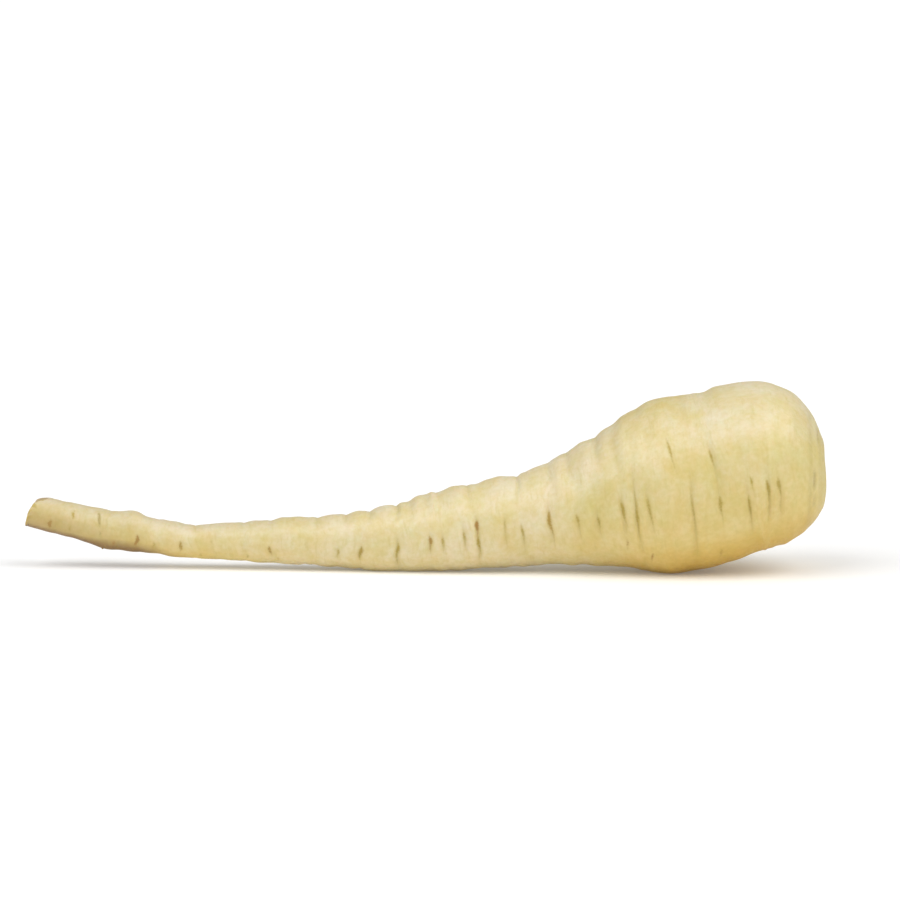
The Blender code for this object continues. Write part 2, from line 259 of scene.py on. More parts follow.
# Where two values are given, the first is on the body, where a scar is darkest and widest near
# one end, and the second on the thin tail, where scars are even lines
scarForm = {
    "evenFrom": (110, 70),    # stations between which the one turns into the other
    "width": 0.42,
    "groove": 0.12,
    "waver": 0.12,
    "waverTurn": 4.5,
    "headPlace": (-0.4, -0.1),    # of the darkest place, from -1 to 1 along the scar
    "headLength": (0.45, 0.8),
    "headWidth": (0.75, 0.25),
    "leastWidth": (0.6, 0.8),
    "lensWidth": 0.45,
    "lensPower": 0.8,
    "linePower": 1.8,         # more gives the line a sharper edge
    "bodyDark": 0.45,         # share of its darkness away from the head
    "trailDark": 0.2,         # the faint thin line on which it runs out
    "trailMiddle": 0.5,
    "trailLength": 1.2,
    "trailWidth": 0.3,
    "scarShadeShare": 0.45,        # the soft painted shade round it
    "scarShadeWidth": 1.1,
    "toneStep": 0.01,         # a scar over another gives its tone if darker by this
    # station, from, to, darkness, tone (0 grey-olive, 0.5 olive-brown, 1 orange-brown), slant
    "tail": [(8.2, 90, 138, 0.85, 0.9, 0.2), (15, 40, 86, 0.65, 0.5, 0.15),
             (14.8, 94, 132, 0.4, 0.6, 0), (23.9, 20, 92, 0.7, 0.0, 1.2),
             (25.2, 92, 122, 0.4, 0.2, 0.4), (30, 114, 146, 0.5, 1.0, 0),
             (37.6, 82, 136, 0.95, 0.95, -0.3), (43.3, 96, 140, 0.4, 0.5, 0.1),
             (45.2, 128, 150, 0.35, 0.5, 0), (52.4, 80, 132, 0.7, 0.75, -0.15),
             (82.6, 90, 136, 0.6, 0.8, 0.15), (63.5, 70, 98, 0.25, 0.45, 0),
             (58.7, 122, 148, 0.4, 0.4, 0), (74.4, 120, 148, 0.4, 0.4, 0),
             (85.2, 128, 152, 0.35, 0.4, 0), (95, 81, 101, 0.15, 0.4, 0)],
    "waist": [(106, 96, 131, 0.55, 0.6, 0), (113.7, 92, 135, 1.0, 0.65, 0),
              (126, 85, 144, 0.8, 0.5, 0), (137.2, 84, 114, 0.9, 0.85, 0),
              (141.5, 86, 118, 0.6, 0.5, 0), (149, 82, 117, 0.6, 0.5, 0),
              (153.6, 71, 99, 1.0, 1.0, -0.15), (153.6, 92, 131, 0.8, 0.6, 0),
              (162.8, 71, 114, 0.4, 0.4, 0), (168.7, 84, 123, 0.6, 0.4, -0.3),
              (178.3, 72, 118, 0.9, 0.75, 0), (187.2, 86, 107, 0.65, 0.4, 0),
              (193.6, 92, 112, 0.65, 0.4, 0)],
    "crown": [(202, 82, 112, 0.85, 0.6, 0.7), (200.9, 117, 133, 0.5, 1.0, -0.6),
              (206.2, 70, 131, 0.45, 0.4, 0), (206.2, 89, 122, 0.75, 0.45, 0),
              (211, 80, 122, 0.65, 0.4, 0.5), (209.2, 130, 145, 0.65, 1.0, -0.7),
              (219.6, 46, 78, 0.7, 0.45, 1.1), (224.5, 79, 137, 0.5, 0.4, 0.5),
              (230, 40, 45, 0.3, 0.5, 0), (233.2, 60, 80, 0.65, 0.45, 0.5),
              (233.2, 94, 113, 0.9, 0.45, 0), (231.4, 134, 152, 0.45, 1.0, -1.0),
              (242, 98, 126, 0.75, 0.45, 0), (244.4, 87, 99, 0.7, 0.45, 0),
              (250, 90, 111, 0.95, 0.45, 0.45), (250, 108, 124, 0.35, 0.45, 0),
              (254.1, 89, 110, 0.95, 0.4, 0.25), (254.1, 106, 124, 0.35, 0.4, 0.2)],
}


def scarsInSight():
    return scarForm["tail"] + scarForm["waist"] + scarForm["crown"]


def scarWork(station, angle, scars):
    # grooves of the scars, the soft painted shade round them, how dark they are, and their tone
    form = scarForm
    drawn = np.zeros_like(station)
    paintedCreaseShade = np.zeros_like(station)
    scar = np.zeros_like(station)
    tone = np.full_like(station, 0.5)
    for place, start, end, dark, tint, slant in scars:
        near = np.abs(station - place) < creaseForm["reach"]
        along = alongArc(angle[near], start, end)
        across = station[near] - place - slant * along - slantAt(place, angle[near])
        across += form["waver"] * np.sin(form["waverTurn"] * along + place)
        even = ramp(place, *form["evenFrom"])
        head = hump(along - between(form["headPlace"], even), between(form["headLength"], even))
        lens = np.clip(1 - along**2, 0, 1) ** form["lensPower"]
        broad = between(form["leastWidth"], even) + form["lensWidth"] * lens
        broad += between(form["headWidth"], even) * head * lens * dark
        line = lens * hump(across, form["width"] * broad, form["linePower"])
        trail = form["trailDark"] * hump(along - form["trailMiddle"], form["trailLength"], 4)
        trail *= hump(across, form["trailWidth"])
        shade = form["bodyDark"] + (1 - form["bodyDark"]) * head
        made = dark * np.maximum(shade * line, trail)
        drawn[near] += form["groove"] * dark * line
        tone[near] = np.where(made > scar[near] + form["toneStep"], tint, tone[near])
        scar[near] = np.maximum(scar[near], made)
        paintedCreaseShade[near] += form["scarShadeShare"] * dark * lens * hump(across, form["scarShadeWidth"])
    return drawn, paintedCreaseShade, np.clip(scar, 0, 1), tone


# Creases and scars out of sight, drawn at random like those in sight
hiddenForm = {
    "creaseSeed": 11,
    "creaseRows": (205, 280),
    "creaseStray": 14,
    "creaseHalf": (12, 34),
    "creaseDepth": (0.3, 0.8),
    "creaseShare": 0.78,
    "fullDepthFrom": 120,     # on the tail they are shallower, down to half the depth
    "scarSeed": 29,
    "scarLength": (0.3, 0.75),    # as a share of its crease
    "scarDark": (0.35, 1.15),
    "scarTone": (0.35, 0.6),
    "scarShare": 0.88,
    "deepCrease": 0.8,
    "orangeTo": 60,           # some scars below this station are orange-brown
    "orangeShare": 0.4,
    "orangeTone": 0.9,
    "faintSeed": 30,
    "faintCount": 130,
    "faintFrom": 12,
    "faintLength": (5, 26),
    "faintDark": (0.04, 0.2),
    "faintTone": (0.2, 0.7),
}


def hiddenCreases():
    # the far side and the underside, on the stations of the creases in sight
    form = hiddenForm
    chance = random.Random(form["creaseSeed"])
    stations = sorted({crease[0] for crease in creaseForm["side"] + creaseForm["top"]})
    creases = []
    for station in stations:
        for row in form["creaseRows"]:
            middle = row + chance.uniform(-form["creaseStray"], form["creaseStray"])
            half = chance.uniform(*form["creaseHalf"])
            depth = chance.uniform(*form["creaseDepth"])
            depth *= min(1.0, 0.5 + 0.5 * station / form["fullDepthFrom"])
            if chance.random() < form["creaseShare"]:
                creases.append((station, middle - half, middle + half, depth))
    return creases


def hiddenScars(creases):
    # like those in sight: short, darkest at one end, a few of them orange-brown
    form = hiddenForm
    chance = random.Random(form["scarSeed"])
    scars = []
    for station, start, end, depth in creases:
        length = (end - start) * chance.uniform(*form["scarLength"])
        first = start + (end - start - length) * chance.random()
        dark = chance.uniform(*form["scarDark"]) * depth / form["deepCrease"]
        if station < form["orangeTo"] and chance.random() < form["orangeShare"]:
            tone = form["orangeTone"]
        else:
            tone = chance.uniform(*form["scarTone"])
        if chance.random() < form["scarShare"]:
            scars.append((station, first, first + length, min(dark, 1.0), tone, 0))
    return scars


def faintScars(stations):
    # barely coloured short lines all round the root
    form = hiddenForm
    chance = random.Random(form["faintSeed"])
    scars = []
    for _ in range(form["faintCount"]):
        station = chance.choice(stations)
        start = chance.uniform(0, 360)
        length = chance.uniform(*form["faintLength"])
        dark = chance.uniform(*form["faintDark"])
        tone = chance.uniform(*form["faintTone"])
        scars.append((station, start, start + length, dark, tone, 0))
    return scars


# The skin's slight unevenness, from broad dents to fine wrinkles round the root
skinWave = {
    "seed": 5,
    # most lobes round the root, length, height, how many
    "sizes": [(3, 34, 0.10, 4), (5, 15, 0.055, 6), (9, 6.5, 0.03, 8)],
    "pitch": (0.6, 1.5),
    "fullFrom": 15.0,         # radius from which the waves have their full height
    "least": 0.3,
}


def skinWaves(station, turn):
    chance = random.Random(skinWave["seed"])
    height = np.zeros_like(station)
    for lobes, length, size, count in skinWave["sizes"]:
        for _ in range(count):
            turns = chance.randint(1, lobes)
            pitch = length * chance.uniform(*skinWave["pitch"]) * chance.choice((-1, 1))
            phase = chance.uniform(0, 2 * math.pi)
            height += size * np.sin(turns * turn + 2 * math.pi * station / pitch + phase)
    return height


def bumpHeight(station, angle, radius):
    height = np.zeros_like(station)
    for place, middle, length, half, high in rootForm["bumps"]:
        height += high * hump(station - place, length) * hump(angleFrom(angle, middle), half)
    turn = np.radians(angle)
    drift = station / rootForm["twist"]
    height += radius * rootForm["oval"] * np.sin(2 * turn + rootForm["ovalTwist"] * drift)
    height += radius * rootForm["threeSided"] * np.sin(3 * turn - drift)
    for row, middle, share in rootForm["swellRows"]:
        height += share * swelling(station, angle, creaseForm[row], middle)
    return height


def workedRadius(station, angle, radius, outer, drawn):
    calm = 1 - restSpot(station, angle)
    size = np.clip(radius / skinWave["fullFrom"], skinWave["least"], 1)
    waves = skinWaves(station, np.radians(angle)) * size
    return radius + outer * (bumpHeight(station, angle, radius) + calm * (waves - drawn))


# The crown's sunken top, where the leaves grew. A pair of radii is where something starts
# and where it is full.
crownForm = {
    "dishRadius": 11.6,
    "dishLobes": [(0.06, 2, -1.3), (0.035, 3, -0.4)],
    "dishLobesFrom": (18, 13),
    "rimBand": 3.0,
    "rimLift": 0.3,
    "rimLobes": [(0.5, 3, 0.6), (0.4, 5, -1.1)],
    "rimOval": 1.3,
    "rimLean": 0.9,
    "rimDrop": 0.4,           # how much lower the rim lies on its upper side
    "edgeRadius": 17.5,       # the crown's edge is worn back round the dish
    "edgeWidth": 5.5,
    "edgeEase": 0.5,
    "edgeTop": 0.6,           # and this much more on its upper side, as a share
    "wallRadius": 9.6,        # the dish's wall is ringed
    "wallWidth": 2.2,
    "wallRing": 0.12,
    "wallPitch": 5.2,
    "wallWaver": [(1.4, 2, 0), (0.8, 5, 0)],
    "reliefFrom": (13, 22),
    "topWaves": 0.5,
    "topWavesFrom": (24, 16),
    # radius, how far below the apex
    "dish": [(0, 5.2), (2.4, 5.2), (4.6, 5.5), (6.2, 6.1), (7.4, 6.3), (8.4, 5.8), (9.4, 4.7),
             (10.4, 3.1), (11.6, 2.1), (12.9, 2.35)],
    "dishRings": 44,
    "domeArcs": 52,
    # radius, depth
    "leafRings": [(15.8, 0.12), (20.2, 0.12)],
    "leafRingWidth": 0.9,
    "leafRingBroken": 0.4,
    "leafRingStain": 0.35,
    # radius, from, to, darkness of the brown marks near the rim
    "rimMarks": [(18.6, 84, 104, 0.75), (18.4, 109, 127, 0.4), (15.8, 200, 250, 0.6),
                 (20.2, 265, 300, 0.45), (16.5, 20, 52, 0.5), (15.5, 310, 345, 0.6)],
    "rimMarkWidth": 0.9,
    "rimMarkDepth": 0.18,
}


def dishOutline():
    # from the middle of the dish out over its rim
    dish = crownForm["dish"]
    lengths = np.hypot(np.diff([p[0] for p in dish]), np.diff([p[1] for p in dish]))
    walked = np.concatenate([[0], np.cumsum(lengths)])
    steps = np.linspace(0, walked[-1], crownForm["dishRings"])
    radii = curveThrough(list(zip(walked, [p[0] for p in dish])), steps)
    below = curveThrough(list(zip(walked, [p[1] for p in dish])), steps)
    radii[0] = 0
    return list(zip(radii, rootForm["apex"] - below))


def leafMarks(radius, angle, dome):
    # rings and brown marks where leaves grew: how deep, and how dark
    form = crownForm
    turn = np.radians(angle)
    sunk = np.zeros_like(radius)
    stain = np.zeros_like(radius)
    broken = form["leafRingBroken"]
    for ring, depth in form["leafRings"]:
        whole = 1 - broken + broken * np.sin(2 * turn + ring) * np.sin(3 * turn - ring)
        trace = hump(radius - ring, form["leafRingWidth"]) * dome * whole
        sunk += trace * depth
        stain = np.maximum(stain, form["leafRingStain"] * trace)
    for ring, start, end, dark in form["rimMarks"]:
        trace = hump(radius - ring, form["rimMarkWidth"]) * dome
        trace *= hump(alongArc(angle, start, end), 1, 4)
        sunk += trace * form["rimMarkDepth"]
        stain = np.maximum(stain, dark * trace)
    return sunk, stain


def crownTop(radius, angle, dome):
    # how far the uneven dish is from round, how far it, its rim and the crown's worn edge are
    # lifted along the root, and how stained they are
    form = crownForm
    turn = np.radians(angle)
    inner = ramp(radius, *form["dishLobesFrom"]) * dome
    wider = 1 + inner * lobed(turn, form["dishLobes"])
    rim = hump(radius - form["dishRadius"], form["rimBand"]) * dome
    lobes = lobed(turn, form["rimLobes"]) - form["rimOval"] * np.cos(2 * turn)
    lobes -= form["rimLean"] * np.cos(turn)
    lift = rim * (form["rimLift"] * lobes - form["rimDrop"] * np.clip(np.cos(turn), 0, 1) ** 2)
    edge = hump(radius - form["edgeRadius"], form["edgeWidth"]) * dome
    lift -= edge * form["edgeEase"] * (1 + form["edgeTop"] * np.cos(turn))
    wall = hump(radius - form["wallRadius"], form["wallWidth"], 4) * dome
    rings = np.sin(radius * form["wallPitch"] + lobed(turn, form["wallWaver"]))
    lift += wall * form["wallRing"] * rings
    top = ramp(radius, *form["topWavesFrom"]) * dome
    lift += top * form["topWaves"] * skinWaves(rootForm["apex"] - radius, turn)
    sunk, stain = leafMarks(radius, angle, dome)
    return wider, lift - sunk, stain


# The tail's cut end
cutForm = {
    "edge": 0.35,             # rounding of its edge
    "corner": [(0.08, 0.6), (0.3, 0.25), (0.65, 0.06), (1, 0)],     # inward and up, as shares of it
    "face": -0.01,            # station of the face's rings
    "rings": (0.9, 0.78, 0.66, 0.54, 0.42, 0.3, 0.18),
    "faceTo": 0.001,          # stations below this lie on the face
    "smoothShare": 0.8,       # share of the radius inside which the relief fades out
    "slant": 17.0,            # degrees from square across the root
    "round": 4.2,             # how far its upper corner is worn back
    "fade": 13.0,
    "hollow": 0.22,
    # height, number round it, turn from the middle to the edge
    "fibres": [(0.05, 17, 9), (0.04, 29, -14)],
}


def cutOutline():
    # round the cut end's edge and in to its middle
    tail = float(bareRadius(0.0))
    edge = cutForm["edge"]
    outline = [(tail - inward * edge, up * edge) for inward, up in cutForm["corner"]]
    outline += [((tail - edge) * share, cutForm["face"]) for share in cutForm["rings"]]
    outline.append((0.0, cutForm["face"]))
    return outline


def cutFace(station, radius, turn):
    # which points are on the cut, how far out on it, and how far they are sunk into the root
    tail = float(bareRadius(0.0))
    cut = (station < cutForm["faceTo"]) & (radius < tail)
    share = np.where(cut, radius / tail, 1)
    fibres = np.zeros_like(station)
    for size, count, swirl in cutForm["fibres"]:
        fibres += size * np.sin(count * turn + swirl * share)
    sunk = cutForm["hollow"] * (1 - share**2) + fibres * share
    return cut, share, np.where(cut, sunk, 0)


def slidAlong(station, angle, upper, outer):
    # creases lean and wander along the root, and the tail is cut on a slant
    turn = np.radians(angle)
    lean = np.sin(np.radians(angle - rootForm["leanMiddle"]))
    lean = lean * curveThrough(rootForm["lean"], station)
    wander = np.zeros_like(station)
    for size, count, pitch, phase in rootForm["wander"]:
        wander += size * np.sin(count * turn + station / pitch + phase)
    for start, end in rootForm["wanderEnds"]:
        wander *= ramp(station, start, end)
    corner = cutForm["round"] * ramp(upper / float(bareRadius(0.0)), 0.5, 1) ** 2
    slant = math.tan(math.radians(cutForm["slant"])) * upper + corner
    return (lean + wander) * outer + slant * ramp(station, cutForm["fade"], 0)


# How fine the skin's mesh is
skinMesh = {
    "sides": 118,
    "besideCrease": (0.13, 0.28, 0.5, 0.85, 1.35),
    "besideNub": (24, 27),    # stations with closer rings for the tail's nub
    "ringGap": 0.72,
    "leastGap": 0.1,
    "mergeWithin": 0.004,
}


def ringStations(marks):
    # rings on every crease and close beside it, with even rings between
    places = []
    for mark in marks:
        places.append(mark)
        for step in skinMesh["besideCrease"]:
            places += [mark - step, mark + step]
    last = rootForm["ringsEnd"]
    places = sorted(place for place in places if cutForm["edge"] < place < last)
    rings = [cutForm["edge"]]
    for place in places + [last]:
        gap = place - rings[-1]
        if gap < skinMesh["leastGap"]:
            continue
        count = math.ceil(gap / skinMesh["ringGap"])
        start = rings[-1]
        rings += [start + gap * k / count for k in range(1, count + 1)]
    return rings


def rootProfile(marks):
    # half outline from the middle of the dish out and down to the middle of the cut end
    outline = dishOutline()
    widest = widestStation()
    first = math.acos(rootForm["domeRim"] / rootForm["crownRadius"])
    last = math.asin((rootForm["ringsEnd"] - widest) / rootForm["domeLength"])
    for turn in np.linspace(first, last, crownForm["domeArcs"], endpoint=False):
        station = widest + rootForm["domeLength"] * math.sin(turn)
        outline.append((float(bareRadius(station)), station))
    for station in reversed(ringStations(marks)):
        outline.append((float(bareRadius(station)), station))
    return outline + cutOutline()


def turnProfile(outline, sides):
    # the profile turned round Z by a Screw modifier, crown up
    profile = bpy.data.meshes.new("rootProfile")
    corners = [(radius * mm, 0.0, height * mm) for radius, height in outline]
    profile.from_pydata(corners, [(k, k + 1) for k in range(len(outline) - 1)], [])
    guide = bpy.data.objects.new("rootProfile", profile)
    bpy.context.scene.collection.objects.link(guide)
    screw = guide.modifiers.new("Turn", "SCREW")
    screw.axis = "Z"
    screw.angle = 2 * math.pi
    screw.steps = sides
    screw.render_steps = sides
    screw.use_merge_vertices = True
    screw.merge_threshold = skinMesh["mergeWithin"] * mm
    bpy.context.view_layer.update()
    evaluated = guide.evaluated_get(bpy.context.evaluated_depsgraph_get())
    mesh = bpy.data.meshes.new_from_object(evaluated)
    bpy.data.objects.remove(guide, do_unlink=True)
    bpy.data.meshes.remove(profile)
    return mesh


def meshPoints(mesh):
    flat = np.empty(len(mesh.vertices) * 3)
    mesh.vertices.foreach_get("co", flat)
    return flat.reshape(-1, 3)


def setLayer(mesh, name, values):
    # a value for each point, which the finish reads
    kind = "FLOAT_VECTOR" if values.ndim == 2 else "FLOAT"
    layer = mesh.attributes.new(name, kind, "POINT")
    layer.data.foreach_set("vector" if kind == "FLOAT_VECTOR" else "value", values.ravel())


def signedVolume(mesh):
    mesh.calc_loop_triangles()
    corners = np.empty(len(mesh.loop_triangles) * 3, dtype=int)
    mesh.loop_triangles.foreach_get("vertices", corners)
    a, b, c = meshPoints(mesh)[corners].reshape(-1, 3, 3).transpose(1, 0, 2)
    return float(np.einsum("ij,ij->i", a, np.cross(b, c)).sum() / 6)


def setOnFloor(placed):
    # level, centred in the box of the solid, and never outside it
    low, high = (np.array(corner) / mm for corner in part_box("parsnip_root"))
    shift = (low + high - placed.max(axis=0) - placed.min(axis=0)) / 2
    shift[2] = -placed[:, 2].min() - rootForm["restFlat"]
    return np.clip(placed + shift, low, high), shift


# Where the skin changes colour. A pair is where a zone starts and where it is full, as stations,
# as radii on the crown's top, or as the cosine of the angle, which is 1 on top and -1 below.
skinZones = {
    # painted sheen on the upper side, paler where light falls from above
    "paintedSheen": (0.3, 0.8),
    "paintedSheenAlong": (84, 116),
    # painted light and shade on the top side of the tail half, greyer than the skin round it
    "paintedTopLightShade": (0.2, 0.8),
    "paintedTopLightShadeAlong": (120, 80),
    # painted warm shade on the underside
    "paintedUnderShade": (0.25, -0.75),
    # painted darker shade along the belly of the crown and of the tail
    "crownBellyShade": (190, 215),
    "tailBellyShade": (58, 38),
    "thinTail": (60, 30),
    "tailward": (60, 5),
    "dish": (13.5, 10.5),
    "crownNear": (22, 12),
    # these are a middle and a half-length
    "shoulder": (210, 13),
    "waist": (130, 62),
    "nub": (34, 12),
    "cutStain": (0, 1.8),
    # how much of the painted sheen the shoulder loses
    "shoulderShare": 0.8,
    # how far down the painted shade of the underside starts, how far it takes to be full, and how
    # much the thin tail and the nub add to each
    "bellyShadeFrom": (0.55, 0.1, -0.3),
    "bellyShadeReach": (0.4, -0.18, 0.25),
}


def inZone(name, value):
    return ramp(value, *skinZones[name])


def nearZone(name, station, power=2):
    middle, half = skinZones[name]
    return hump(station - middle, half, power)


def zoneLayers(station, radius, turn, dome):
    # which way the skin faces, and how far along the root it is; what faces up carries painted
    # sheen, and what faces down painted shade
    up = np.cos(turn)
    shoulder = skinZones["shoulderShare"] * nearZone("shoulder", station)
    weights = (1, inZone("thinTail", station), nearZone("nub", station))
    start = sum(value * weight for value, weight in zip(skinZones["bellyShadeFrom"], weights))
    reach = sum(value * weight for value, weight in zip(skinZones["bellyShadeReach"], weights))
    ends = inZone("crownBellyShade", station) + inZone("tailBellyShade", station)
    return {
        "paintedSheen": inZone("paintedSheen", up) * (1 - shoulder) * inZone("paintedSheenAlong", station),
        "paintedTopLightShade": inZone("paintedTopLightShade", up) * inZone("paintedTopLightShadeAlong", station),
        "paintedUnderShade": inZone("paintedUnderShade", up),
        "paintedBellyShade": ramp(-up, start, start + reach) * ends,
        "waist": nearZone("waist", station, 4),
        "tailward": inZone("tailward", station),
        "cutStain": nearZone("cutStain", station),
        "dish": inZone("dish", radius) * dome,
        "crownNear": inZone("crownNear", radius) * dome,
    }


def makeRoot():
    hidden = hiddenCreases()
    creases = creaseForm["side"] + creaseForm["top"] + hidden
    scars = scarsInSight()
    marks = sorted({crease[0] for crease in creases} | {scar[0] for scar in scars})
    outline = rootProfile(marks + list(skinMesh["besideNub"]))
    scars += hiddenScars(hidden)
    scars += faintScars([ring for ring in ringStations(marks) if ring > hiddenForm["faintFrom"]])
    mesh = turnProfile(outline, skinMesh["sides"])
    x, y, station = meshPoints(mesh).T / mm
    radius = np.hypot(x, y)
    angle = np.degrees(np.arctan2(-y, -x))
    turn = np.radians(angle)
    dome = station > widestStation()

    # relief acts on the outside and fades over the crown's top and the cut end
    outer = np.where(dome, ramp(radius, *crownForm["reliefFrom"]),
                     ramp(radius / bareRadius(station), cutForm["smoothShare"], 1))
    creaseDrawn, creaseShading = creaseWork(station, angle, creases)
    scarDrawn, scarShading, scar, tone = scarWork(station, angle, scars)
    worked = workedRadius(station, angle, radius, outer, creaseDrawn + scarDrawn)
    wider, lift, stain = crownTop(radius, angle, dome)
    worked *= wider
    upper = worked * np.cos(turn)
    along = station + lift + slidAlong(station, angle, upper, outer)
    placed = layDown(upper, worked * np.sin(turn), station, along)
    cut, share, sunk = cutFace(station, radius, turn)
    placed[:, 0] += sunk
    placed, shift = setOnFloor(placed)
    mesh.vertices.foreach_set("co", (placed * mm).ravel())
    mesh.update()

    # the finish's patterns keep to the smooth root, so that they don't jump over creases
    smooth = radius + outer * bumpHeight(station, angle, radius)
    space = np.stack([smooth * np.cos(turn), smooth * np.sin(turn), station + lift], axis=1)
    # painted shade in the creases and round the scars
    paintedCreaseShade = np.clip(creaseShading + scarShading, 0, 1)
    layers = {"scar": scar * outer, "scarTone": tone, "paintedCreaseShade": paintedCreaseShade * outer, "crownStain": stain}
    layers.update(zoneLayers(station, radius, turn, dome))
    layers.update({"cutEnd": cut.astype(float), "cutShare": share, "skinSpace": space / cm})
    for name, values in layers.items():
        setLayer(mesh, name, values)
    print("root:", len(mesh.vertices), "points,", len(outline), "rings, volume",
          round(signedVolume(mesh) * 1e6, 1), "cm3")
    return mesh, shift


def addPiece(name, mesh, finish):
    piece = bpy.data.objects.new(name, mesh)
    bpy.context.scene.collection.objects.link(piece)
    mesh.materials.append(finish)
    mesh.shade_smooth()
    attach(piece, "root")
    return piece


class Finish:
    # a Principled material with short ways to add nodes
    def __init__(self, name):
        self.material = bpy.data.materials.new(name)
        self.material.use_nodes = True
        self.tree = self.material.node_tree
        self.shader = self.tree.nodes["Principled BSDF"]

    def plug(self, socket, value):
        if isinstance(value, bpy.types.NodeSocket):
            self.tree.links.new(value, socket)
        else:
            socket.default_value = value

    def set(self, name, value):
        self.plug(self.shader.inputs[name], value)

    def layer(self, name, output="Fac"):
        node = self.tree.nodes.new("ShaderNodeAttribute")
        node.attribute_name = name
        return node.outputs[output]

    def stretched(self, vector, along):
        node = self.tree.nodes.new("ShaderNodeMapping")
        self.plug(node.inputs["Vector"], vector)
        node.inputs["Scale"].default_value = (1.0, 1.0, along)
        return node.outputs["Vector"]

    def noise(self, vector, scale, detail=2.0, rough=0.5):
        node = self.tree.nodes.new("ShaderNodeTexNoise")
        self.plug(node.inputs["Vector"], vector)
        node.inputs["Scale"].default_value = scale
        node.inputs["Detail"].default_value = detail
        node.inputs["Roughness"].default_value = rough
        return node.outputs["Fac"]

    def spread(self, value, low, high, to=(0.0, 1.0)):
        node = self.tree.nodes.new("ShaderNodeMapRange")
        node.interpolation_type = "SMOOTHSTEP"
        self.plug(node.inputs["Value"], value)
        node.inputs["From Min"].default_value = low
        node.inputs["From Max"].default_value = high
        node.inputs["To Min"].default_value = to[0]
        node.inputs["To Max"].default_value = to[1]
        return node.outputs["Result"]

    def math(self, how, a, b):
        node = self.tree.nodes.new("ShaderNodeMath")
        node.operation = how
        self.plug(node.inputs[0], a)
        self.plug(node.inputs[1], b)
        return node.outputs[0]

    def share(self, name, most):
        return self.math("MULTIPLY", self.layer(name), most)

    def eased(self, name, most):
        return self.spread(self.layer(name), 0.0, 1.0, (0.0, most))

    def blend(self, amount, a, b, how="MIX"):
        node = self.tree.nodes.new("ShaderNodeMix")
        node.data_type = "RGBA"
        node.blend_type = how
        self.plug(node.inputs["Factor"], amount)
        self.plug(node.inputs["A"], a)
        self.plug(node.inputs["B"], b)
        return next(output for output in node.outputs if output.type == "RGBA")

    def bump(self, height, distance, strength):
        node = self.tree.nodes.new("ShaderNodeBump")
        self.plug(node.inputs["Height"], height)
        node.inputs["Distance"].default_value = distance
        node.inputs["Strength"].default_value = strength
        self.set("Normal", node.outputs["Normal"])


